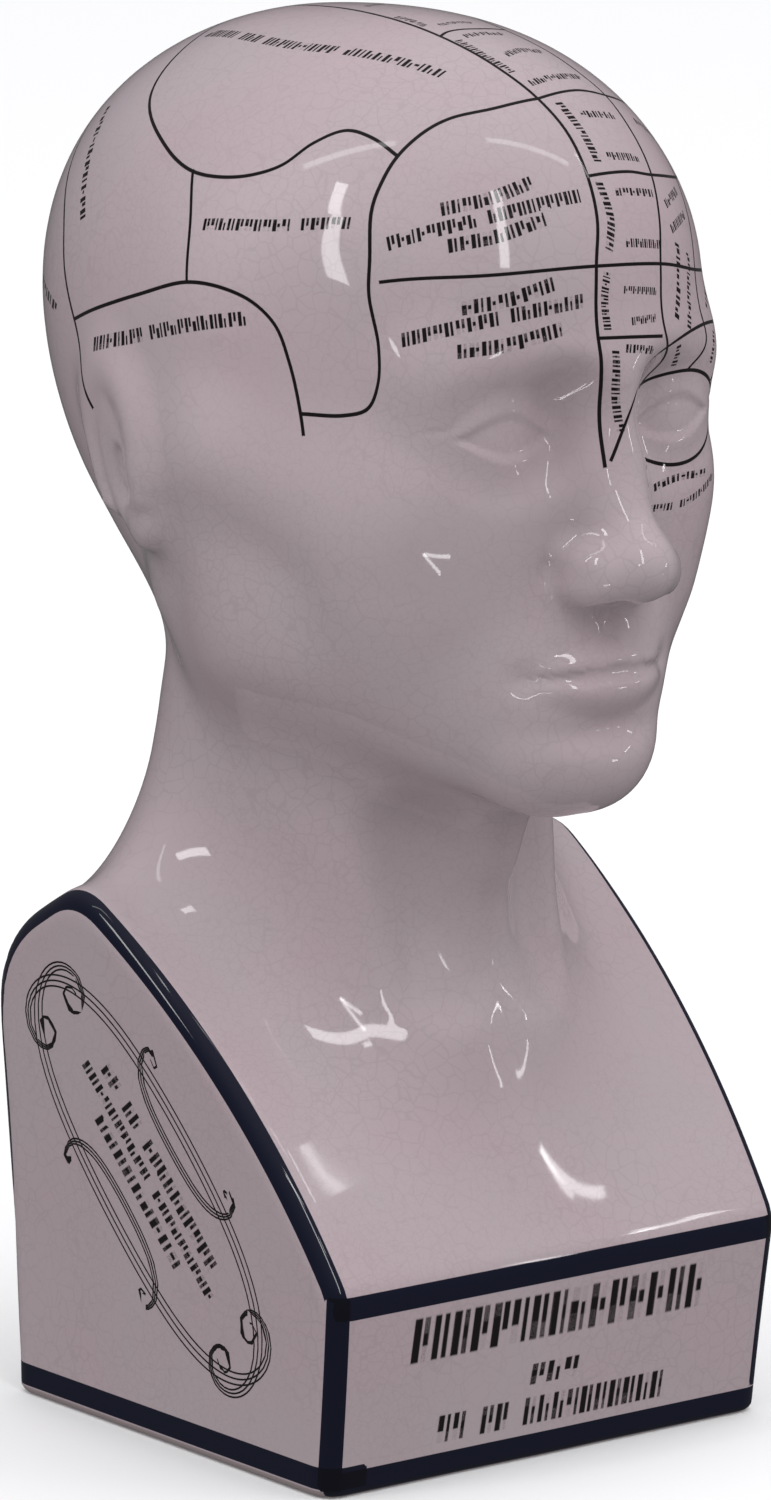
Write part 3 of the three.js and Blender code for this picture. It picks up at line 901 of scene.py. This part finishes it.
def word_strokes(casting):
    """Rows of strokes on the skull, on the plaque and in the flourishes."""
    labels = [(height, letters, on_skull(casting, points)) for height, letters, points in LABELS]
    rows = []
    for height, letters, level, half in PLAQUE_ROWS:
        y = casting.front_at(level)
        rows.append((height, letters, np.array([[-half, y, level], [half, y, level]])))
    for side in (-1, 1):
        for height, letters, over, half in PANEL_ROWS:
            line = np.array([[-half, over], [half, over]], float)
            rows.append((height, letters, on_panel(casting, line, side)))
    return row_strokes(casting, labels, FIRST_LABEL) + row_strokes(casting, rows, FIRST_BLOCK_ROW)


# How far the bands keep from the edges that they follow
RIM_ASIDE, PLAQUE_RISE, CORNER_ASIDE, FOOT_RISE = 0.1, 0.2, 0.3, 0.3
# The rims' bands start so far below the plaque's top and reach so deep into the form
RIM_OVERLAP, RIM_DEPTH = 0.6, 9.0
# How far behind the front wall's plane its paint reaches
FRONT_SKIN = 2.0
# How far the side's foot band runs on round the corner
FOOT_WRAP = 9.9
# The front's foot band starts so far below the bare strip's top and is this share of the side's tall
FRONT_DIP, FRONT_SHARE = 1.2, 0.9
# Share of the foot band at which the left corner's band stops
CORNER_STOP = 0.88


def paint_bands(casting, sizes, mesh, places):
    """Distance inside each painted band, for every point of the skin, in two groups of three."""
    x, y, z = np.abs(places[:, 0]), places[:, 1], places[:, 2]
    inward = casting.side_at(z) - x
    below = -casting.profile(y, z)
    behind = y - casting.front_at(z)
    on_right = places[:, 0] < 0
    rim_half, corner_half = sizes.rim_band / MM / 2, sizes.corner_band / MM / 2
    plaque_band, foot_band, bare = sizes.plaque_band / MM, sizes.foot_band / MM, sizes.bare_strip / MM

    def between(low, value, high):
        return np.minimum(value - low, high - value)

    above_plaque = z - casting.plaque_height
    rim = np.minimum(between(-rim_half, inward - below - RIM_ASIDE, rim_half), above_plaque + RIM_OVERLAP)
    rim = np.minimum(rim, RIM_DEPTH - np.minimum(inward, below))
    plaque = np.minimum(between(-plaque_band, above_plaque - PLAQUE_RISE, 0), FRONT_SKIN - behind)
    corner = between(-corner_half, inward - behind - CORNER_ASIDE, corner_half)
    corner = np.minimum(corner, PLAQUE_RISE - above_plaque)
    # The corner's band runs over the foot's band on the figure's right and stops above it on the left
    corner = np.minimum(corner, z - bare - np.where(on_right, 0, CORNER_STOP * foot_band))
    # The side's band runs on round the corner on the figure's right
    wrap = np.where(on_right, FOOT_WRAP, 0) - inward
    side_foot = between(0, z - bare - FOOT_RISE, foot_band)
    side_foot = np.minimum(side_foot, np.maximum(behind - FRONT_SKIN, wrap))
    front_foot = between(-FRONT_DIP, z - bare, FRONT_SHARE * foot_band - FOOT_RISE)
    front_foot = np.minimum(front_foot, FRONT_SKIN - behind)
    strip = bare - z
    for name, group in (("bands_a", (rim, plaque, corner)), ("bands_b", (side_foot, front_foot, strip))):
        attribute = mesh.attributes.new(name, "FLOAT_VECTOR", "POINT")
        attribute.data.foreach_set("vector", np.stack(group, 1).astype(np.float32).ravel())


# Shader

class Value:
    """A socket that ordinary arithmetic turns into Math nodes."""

    def __init__(self, shader, socket):
        self.shader = shader
        self.socket = socket

    def do(self, operation, *others):
        return self.shader.math(operation, self, *others)

    def __add__(self, other):
        return self.do("ADD", other)

    def __sub__(self, other):
        return self.do("SUBTRACT", other)

    def __mul__(self, other):
        return self.do("MULTIPLY", other)

    def __rsub__(self, other):
        return self.shader.math("SUBTRACT", other, self)

    def __abs__(self):
        return self.do("ABSOLUTE")

    def __lt__(self, other):
        return self.do("LESS_THAN", other)

    def __gt__(self, other):
        return self.do("GREATER_THAN", other)

    __radd__ = __add__
    __rmul__ = __mul__

    def least(self, other):
        return self.do("MINIMUM", other)

    def most(self, other):
        return self.do("MAXIMUM", other)

    def edge(self, soft):
        """Nought below, one above, with a ramp this wide about nought."""
        return self.shader.node("ShaderNodeMapRange", {"clamp": True}, {
            "Value": self, "From Min": -soft / 2, "From Max": soft / 2, "To Min": 0.0, "To Max": 1.0})


class Shader:
    """Makes the nodes of one material or of the room."""

    def __init__(self, owner):
        self.owner = owner
        owner.use_nodes = True
        self.tree = owner.node_tree
        self.tree.nodes.clear()

    def node(self, kind, settings=None, values=None, output=0):
        made = self.tree.nodes.new(kind)
        for name, value in (settings or {}).items():
            setattr(made, name, value)
        for key, value in (values or {}).items():
            if isinstance(value, Value):
                self.tree.links.new(value.socket, made.inputs[key])
            else:
                made.inputs[key].default_value = value
        return Value(self, made.outputs[output]) if len(made.outputs) else made

    def math(self, operation, *values):
        return self.node("ShaderNodeMath", {"operation": operation}, dict(enumerate(values)))

    def vector_math(self, operation, *values):
        return self.node("ShaderNodeVectorMath", {"operation": operation}, dict(enumerate(values)))

    def mix(self, factor, below, above):
        sockets = {0: factor, 6: below, 7: above}
        return self.node("ShaderNodeMix", {"data_type": "RGBA"}, sockets, 2)

    def parts(self, vector):
        split = self.node("ShaderNodeSeparateXYZ", None, {0: vector}).socket.node
        return [Value(self, socket) for socket in split.outputs]

    def stored(self, name):
        """The three numbers that an attribute holds."""
        settings = {"attribute_type": "GEOMETRY", "attribute_name": name}
        return self.parts(self.node("ShaderNodeAttribute", settings, None, "Vector"))

    def noise(self, where, scale, detail, output=0):
        values = {"Vector": where, "Scale": scale, "Detail": detail}
        return self.node("ShaderNodeTexNoise", None, values, output)

    def surface(self, values):
        """Ends a material with one coat that has these values."""
        coat = self.node("ShaderNodeBsdfPrincipled", None, values)
        self.node("ShaderNodeOutputMaterial", None, {"Surface": coat})
        return self.owner


# Width of the soft edge of ink and paint, in millimetres
SOFT = 0.10
# Rows of strokes: lean, soft edges along and across, how uneven the strokes' weight and place are, and
# how tall they stand in half heights
LEAN, WORD_SOFT, END_SOFT, UNEVEN_WEIGHT, UNEVEN_PLACE, TALL = 0.06, 0.05, 0.1, 0.06, 0.05, 0.98
# How far ink, paint, a second coat of it and the foot's thin glaze hide what is under them
INK_COVER, PAINT_COVER, DOUBLE_COVER, BARE_COVER = 0.99, 0.99, 0.75, 0.8
# Crackle, in cells: scale and reach of its drift, half the width of a crack and its soft edge
DRIFT_SCALE, DRIFT_REACH, CRACK_HALF, CRACK_SOFT = 0.35, 1.6, 0.035, 0.05
# Level and soft edge of the clouds in which the crackle fades, and of those that tint the glaze
FADE_LEVEL, FADE_SOFT, CLOUD_LEVEL, CLOUD_SOFT = 0.45, 0.28, 0.52, 0.3
# Scales of clouds and ripples, for each metre
CLOUD_SCALE, NET_FADE_SCALE, FINE_FADE_SCALE, RIPPLE_SCALE, FINE_RIPPLE_SCALE = 28.0, 24.0, 35.0, 45.0, 260.0
# The fine net's cells and strength, and the fine ripple's strength, as shares of the coarse one's
FINE_CELL, FINE_NET, FINE_RIPPLE = 0.5, 0.8, 0.06
# Roughness of the glaze and what the foot's thin glaze adds
GLAZE_ROUGH, BARE_ROUGH = 0.05, 0.3


def rgba(values):
    return (*values, 1.0)


def line_ink(shader, name):
    across, beyond, half = shader.stored(name)
    return (half - abs(across).most(beyond)).edge(SOFT)


def scroll_ink(shader, name, half):
    """Three lines side by side that meet where the gap closes."""
    across, beyond, gap = shader.stored(name)
    off = abs(across)
    near = off.least(abs(off - gap))
    return (half - near.most(beyond)).edge(SOFT)


def word_ink(shader, name):
    """Bold and light strokes by turns, all leaning one way, of uneven height and weight."""
    along, across, code = shader.stored(name)
    cells = code.do("MODULO", float(ROW_CODE))
    cell = along.do("FLOOR")
    within = along - cell - across * LEAN
    seed = shader.node("ShaderNodeCombineXYZ", None, {0: cell, 1: code})
    chance = shader.node("ShaderNodeTexWhiteNoise", {"noise_dimensions": "2D"}, {"Vector": seed}, "Color")
    one, two, three = shader.parts(chance)

    def bar(middle, half, drift, weight, foot_cut, head_cut):
        off = abs(within - middle - drift * UNEVEN_PLACE)
        upright = (half + weight * UNEVEN_WEIGHT - off).edge(WORD_SOFT)
        foot = (across + TALL - foot_cut).edge(END_SOFT)
        return upright * foot * (TALL - head_cut - across).edge(END_SOFT)

    bold = bar(0.27, 0.155, one, two, (three > 0.85) * 0.8, (two > 0.85) * 0.6)
    light = bar(0.73, 0.09, three, one, (one > 0.65) * 0.7, (three < 0.3) * 0.7)
    return bold.most(light) * (along > 0.0) * (along < cells)


def crackle(shader, where, cell, fade_scale):
    """Fine net of cracks, strong in some places and gone in others."""
    drift = shader.noise(where, DRIFT_SCALE / cell, 3.0, "Color")
    shifted = shader.vector_math("MULTIPLY_ADD", drift, (DRIFT_REACH * cell,) * 3, where)
    edges = shader.node("ShaderNodeTexVoronoi", {"feature": "DISTANCE_TO_EDGE"}, {
        "Vector": shifted, "Scale": 1 / cell, "Randomness": 1.0})
    line = (CRACK_HALF - edges).edge(CRACK_SOFT)
    return line * (shader.noise(where, fade_scale, 3.0) - FADE_LEVEL).edge(FADE_SOFT)


def glaze_material(finish, sizes):
    shader = Shader(bpy.data.materials.new("crackle glaze"))
    where = shader.node("ShaderNodeTexCoord", None, None, "Object")
    clouds = (shader.noise(where, CLOUD_SCALE, 3.0) - CLOUD_LEVEL).edge(CLOUD_SOFT)
    body = shader.mix(clouds, rgba(finish.glaze), rgba(finish.blush))
    net = crackle(shader, where, finish.crackle_cell, NET_FADE_SCALE)
    fine_net = crackle(shader, where, finish.crackle_cell * FINE_CELL, FINE_FADE_SCALE)
    cracks = (net + fine_net * FINE_NET).least(1.0)
    body = shader.mix(cracks * finish.crackle_depth, body, rgba(finish.cracks))

    # Print and paint
    ink = word_ink(shader, "words")
    for layer in "abc":
        ink = ink.most(line_ink(shader, "chart_" + layer))
        ink = ink.most(scroll_ink(shader, "scroll_" + layer, sizes.scroll_width / MM / 2))
    bands = shader.stored("bands_a") + shader.stored("bands_b")
    rim, plaque, corner, side_foot, front_foot, strip = (band.edge(SOFT) for band in bands)
    coats = rim + plaque + corner + side_foot + front_foot
    twice = (coats - 1.0).most(0.0).least(1.0)
    for cover, paint in ((strip * BARE_COVER, finish.bare), (ink * INK_COVER, finish.ink),
                         (coats.least(1.0) * PAINT_COVER, finish.blue),
                         (twice * DOUBLE_COVER, finish.double_blue)):
        body = shader.mix(cover, body, rgba(paint))

    fine_ripple = shader.noise(where, FINE_RIPPLE_SCALE, 1.0) * FINE_RIPPLE
    ripple = shader.noise(where, RIPPLE_SCALE, 1.0) + fine_ripple
    bump = shader.node("ShaderNodeBump", None, {"Height": ripple, "Strength": 0.12, "Distance": 0.0006})
    rough = strip * BARE_ROUGH + GLAZE_ROUGH
    return shader.surface({"Base Color": body, "Roughness": rough, "Normal": bump, "IOR": 1.5})


def floor_material():
    shader = Shader(bpy.data.materials.new("pale floor"))
    return shader.surface({
        "Base Color": (0.86, 0.86, 0.86, 1.0), "Roughness": 0.9, "Specular IOR Level": 0.1})


def new_object(name, data):
    """Puts an object into the scene."""
    made = bpy.data.objects.new(name, data)
    bpy.context.scene.collection.objects.link(made)
    return made


def the_piece():
    if PIECE not in bpy.data.objects:
        raise RuntimeError("Make the casting first")
    return bpy.data.objects[PIECE]


def the_skin(context):
    """The casting, the piece's mesh and the places of its points."""
    mesh = the_piece().data
    return Casting(context.scene.casting_sizes), mesh, read(mesh.vertices, "co") / MM


class PHRENOLOGY_OT_casting(bpy.types.Operator):
    """Makes the fine skin of the casting"""
    bl_idname = "phrenology.casting"
    bl_label = "Casting"

    def execute(self, context):
        casting = Casting(context.scene.casting_sizes)
        piece = new_object(PIECE, cage_mesh(casting))
        refine(casting, piece)
        skin = read(piece.data.vertices, "co")
        misfit = abs(np.array([skin.min(0), skin.max(0)]) - np.array(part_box(CAD_NODE))).max() / MM
        if misfit > MISFIT:
            raise RuntimeError(f"The skin's box is {misfit:.1f} mm off the solid's")
        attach(piece, "root")
        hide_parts(CAD_NODE)
        return {"FINISHED"}


class PHRENOLOGY_OT_chart(bpy.types.Operator):
    """Prints the chart of the skull and the rows of strokes"""
    bl_idname = "phrenology.chart"
    bl_label = "Chart"

    def execute(self, context):
        casting, mesh, places = the_skin(context)
        for name, strokes in chart_layers(casting, context.scene.print_sizes).items():
            lay(mesh, places, name, strokes, line_record)
        lay(mesh, places, "words", word_strokes(casting), word_record)
        return {"FINISHED"}


class PHRENOLOGY_OT_block_print(bpy.types.Operator):
    """Prints the flourishes and paints the bands of the block"""
    bl_idname = "phrenology.block_print"
    bl_label = "Flourishes and bands"

    def execute(self, context):
        casting, mesh, places = the_skin(context)
        for name, strokes in scroll_layers(casting).items():
            lay(mesh, places, name, strokes, line_record)
        paint_bands(casting, context.scene.print_sizes, mesh, places)
        return {"FINISHED"}


class PHRENOLOGY_OT_glaze(bpy.types.Operator):
    """Glazes the piece"""
    bl_idname = "phrenology.glaze"
    bl_label = "Glaze"

    def execute(self, context):
        piece = the_piece()
        piece.data.materials.clear()
        piece.data.materials.append(glaze_material(context.scene.finish_settings, context.scene.print_sizes))
        return {"FINISHED"}


# Lamps: name, both ends seen from the head as longitude, latitude and distance, then width, brightness
# and whether the glaze mirrors the lamp
LAMPS = (
    ("left strip", (-96, 27, 2.5), (-102, 46, 2.5), 0.18, 8.5, True),
    ("temple lamp", (-75.3, 54.9, 0.173), (-77.7, 41.6, 0.138), 0.0065, 7.0, True),
    ("front strip", (-19, 22, 2.5), (-15, 55, 2.5), 0.18, 8.0, True),
    ("brow lamp", (-18, 23.5, 0.233), (-18, 26.7, 0.239), 0.007, 9.0, True),
    ("high left strip", (-122, 44, 2.5), (-97, 68, 2.5), 0.10, 3.2, True),
    ("high right strip", (8, 76, 2.5), (50, 51, 2.5), 0.10, 3.2, True),
    ("chest strip", (62, 50, 2.5), (53.5, 43.2, 2.5), 0.02, 8.0, True),
    ("cheek lamp", (-41.1, 8.7, 0.127), (-26.4, 9.4, 0.126), 0.0026, 9.0, True),
    ("cheek lamp, second arm", (-41.1, 8.7, 0.127), (-31.8, 5.6, 0.122), 0.0026, 9.0, True),
    ("chest lamp", (41.7, 10.1, 0.361), (48.5, 16.4, 0.358), 0.009, 8.0, True),
    ("chest lamp, second arm", (41.7, 10.1, 0.361), (44.6, 14.7, 0.354), 0.006, 8.0, True),
    ("chest lamp, low arm", (33.5, -1.2, 0.374), (34.4, -5.6, 0.382), 0.008, 8.0, True),
    ("right fill", (30, 30, 2.5), (75, 30, 2.5), 1.4, 1.2, False),
    ("left fill", (-130, 15, 2.5), (-90, 15, 2.5), 1.4, 0.4, False),
)


def pose(thing, place, axes):
    """Stands a thing at a place, along these three axes."""
    thing.matrix_world = Matrix.Translation(place) @ Matrix(axes).transposed().to_4x4()


def hang_lamp(name, end_a, end_b, width, brightness, mirrored, middle):
    """A flat lamp between two places, turned towards the head."""
    a, b = (Vector(facing(turn, lift)) * far for turn, lift, far in (end_a, end_b))
    lamp = bpy.data.lights.new(name, "AREA")
    lamp.shape = "RECTANGLE"
    lamp.size, lamp.size_y = width, (b - a).length
    lamp.energy = brightness * math.pi * lamp.size * lamp.size_y
    holder = new_object(name, lamp)
    along = (b - a).normalized()
    side = along.cross(a + b).normalized()
    pose(holder, middle + (a + b) / 2, (side, along, side.cross(along)))
    holder.visible_camera = False
    holder.visible_glossy = mirrored


def light_room(stage):
    """A white room for the eye; its ceiling lights the head more than its walls do."""
    room = bpy.data.worlds.new("room")
    bpy.context.scene.world = room
    shader = Shader(room)
    way = shader.node("ShaderNodeTexCoord", None, None, "Generated")
    height = shader.parts(way)[2].most(0.0).do("POWER", 2.0)
    in_gloss = shader.node("ShaderNodeLightPath", None, None, "Is Glossy Ray")
    strength = (height * stage.room_rise + stage.room_low) * (1.0 - in_gloss * (1.0 - stage.room_gloss))
    lit = shader.node("ShaderNodeBackground", None, {"Color": (0.98, 0.98, 1, 1), "Strength": strength})
    seen = shader.node("ShaderNodeBackground", None, {"Color": (1, 1, 1, 1), "Strength": 1.0})
    by_eye = shader.node("ShaderNodeLightPath", None, None, "Is Camera Ray")
    choice = shader.node("ShaderNodeMixShader", None, {0: by_eye, 1: lit, 2: seen})
    shader.node("ShaderNodeOutputWorld", None, {"Surface": choice})


def set_camera(stage):
    camera = new_object("camera", bpy.data.cameras.new("camera"))
    bpy.context.scene.camera = camera
    camera.data.lens = stage.lens
    camera.data.clip_end = 20
    back = Vector(facing(math.degrees(stage.azimuth), math.degrees(stage.elevation)))
    across = Vector((0, 0, 1)).cross(back).normalized()
    across, up = turned(across, back.cross(across), math.degrees(stage.roll))
    aim = Vector((0, stage.aim_depth, stage.aim_height))
    pose(camera, aim + back * stage.distance, (across, up, back))


class PHRENOLOGY_OT_stage(bpy.types.Operator):
    """Sets the pale floor, the lamps and the camera"""
    bl_idname = "phrenology.stage"
    bl_label = "Stage"

    def execute(self, context):
        stage = context.scene.stage_settings
        form = bmesh.new()
        bmesh.ops.create_circle(form, cap_ends=True, segments=96, radius=4.0)
        floor = new_object("pale_floor", finished(form, "pale_floor"))
        floor.data.materials.append(floor_material())
        floor.visible_diffuse = floor.visible_glossy = floor.visible_shadow = False
        middle = Vector((0, 0, stage.aim_height))
        for lamp in LAMPS:
            hang_lamp(*lamp, middle)
        light_room(stage)
        set_camera(stage)
        context.scene.view_settings.view_transform = "Standard"
        return {"FINISHED"}


class PHRENOLOGY_PT_panel(bpy.types.Panel):
    """Lists the steps that make the head"""
    bl_idname = "PHRENOLOGY_PT_panel"
    bl_label = "Phrenology Head"
    bl_space_type = "VIEW_3D"
    bl_region_type = "UI"
    bl_category = "Phrenology Head"

    def draw(self, context):
        for step in STEPS:
            self.layout.operator(step.bl_idname)
        for group in GROUPS:
            box = self.layout.box()
            settings = getattr(context.scene, group)
            for name in settings.bl_rna.properties.keys():
                if name not in ("rna_type", "name"):
                    box.prop(settings, name)


STEPS = (PHRENOLOGY_OT_casting, PHRENOLOGY_OT_chart, PHRENOLOGY_OT_block_print, PHRENOLOGY_OT_glaze,
         PHRENOLOGY_OT_stage)
GROUPS = {"casting_sizes": CastingSizes, "print_sizes": PrintSizes, "finish_settings": FinishSettings,
          "stage_settings": StageSettings}
CLASSES = (*GROUPS.values(), *STEPS, PHRENOLOGY_PT_panel)


def register():
    for kind in CLASSES:
        bpy.utils.register_class(kind)
    for name, kind in GROUPS.items():
        setattr(bpy.types.Scene, name, bpy.props.PointerProperty(type=kind))


def unregister():
    for name in GROUPS:
        delattr(bpy.types.Scene, name)
    for kind in reversed(CLASSES):
        bpy.utils.unregister_class(kind)


def main():
    register()
    bpy.ops.phrenology.casting()
    bpy.ops.phrenology.chart()
    bpy.ops.phrenology.block_print()
    bpy.ops.phrenology.glaze()
    bpy.ops.phrenology.stage()


if __name__ == "__main__":
    main()
